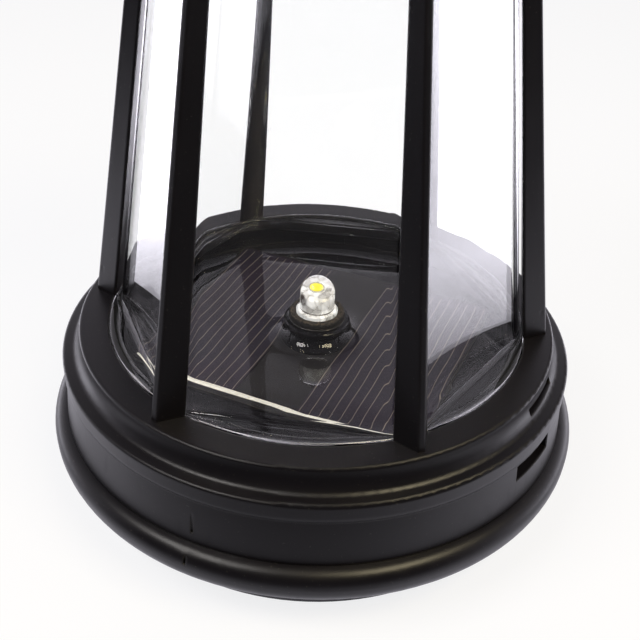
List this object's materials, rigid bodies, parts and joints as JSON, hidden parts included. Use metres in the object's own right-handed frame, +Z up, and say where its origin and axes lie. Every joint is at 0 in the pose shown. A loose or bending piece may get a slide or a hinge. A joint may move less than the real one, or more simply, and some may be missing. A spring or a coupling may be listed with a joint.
{
  "type": "solar lantern",
  "caption": "Small black plastic solar lantern: round stepped base, slim leaning posts round a clear hexagonal liner, upward solar panel with a clear LED, domed roof and wire bail.",
  "frame": {"origin": "centre of the foot ring, on the plane that the lantern stands on", "axes": "+Z up, a flat pane of the liner faces -Y, one post stands at +X, the bail pivots along X"},
  "size_m": [0.0778, 0.0778, 0.1195],
  "materials": {
    "black_abs": "satin moulded ABS",
    "clear_plastic": "clear polystyrene",
    "steel_wire": "plated steel",
    "screw_steel": "zinc plated",
    "black_rubber": "matte",
    "board_laminate": "black-coated glass epoxy laminate",
    "solar_silicon": "dark violet silicon",
    "silver_metal": "bright",
    "clear_resin": "clear glossy potting resin",
    "led_clear": "clear epoxy",
    "phosphor": "yellow phosphor",
    "green_board": "solder mask",
    "dark_component": "moulded",
    "copper_winding": "enamelled",
    "can_aluminium": "drawn can",
    "cell_jacket": "shrink sleeve",
    "red_wire": "insulation",
    "black_wire": "insulation"
  },
  "bodies": {
    "lantern": {"upper_housing": "black_abs", "cage_frame": "black_abs", "cage_screws": "screw_steel", "clear_liner": "clear_plastic", "liner_seal": "black_rubber", "solar_tray": "black_abs", "solar_board": "board_laminate", "solar_cell_left": "solar_silicon", "solar_cell_right": "solar_silicon", "cell_busbar": "silver_metal", "panel_resin": "clear_resin", "panel_leads": "red_wire", "led_holder": "black_rubber", "led_lens": "led_clear", "led_leads": "silver_metal", "led_chip": "phosphor", "control_board": "green_board", "driver_chip": "dark_component", "boost_inductor": "copper_winding", "filter_capacitor": "can_aluminium", "blocking_diode": "dark_component", "board_screws": "screw_steel", "base_pan": "black_abs", "battery_cell": "cell_jacket", "battery_plus_contact": "silver_metal", "battery_minus_contact": "silver_metal", "battery_wire_red": "red_wire", "battery_wire_black": "black_wire", "switch_wires": "black_wire", "switch_body": "dark_component", "roof_shell": "black_abs", "roof_screws": "screw_steel", "skylight_lens": "clear_plastic"},
    "bail": {"bail_handle": "steel_wire"},
    "switch_knob": {"switch_slider": "black_abs"},
    "door": {"battery_door": "black_abs"}
  },
  "joints": [
    {"name": "bail_hinge", "type": "hinge", "parent": "lantern", "child": "bail", "pos_m": [0, 0, 0.1132], "axis": [1, 0, 0], "range_deg": [0, 224]},
    {"name": "switch_slide", "type": "slide", "parent": "lantern", "child": "switch_knob", "axis": [1, 0, 0], "range_m": [0, 0.002]},
    {"name": "door_hinge", "type": "hinge", "parent": "lantern", "child": "door", "pos_m": [-0.0216, 0.012, 0.0021], "axis": [0, 1, 0], "range_deg": [0, 85]}
  ]
}
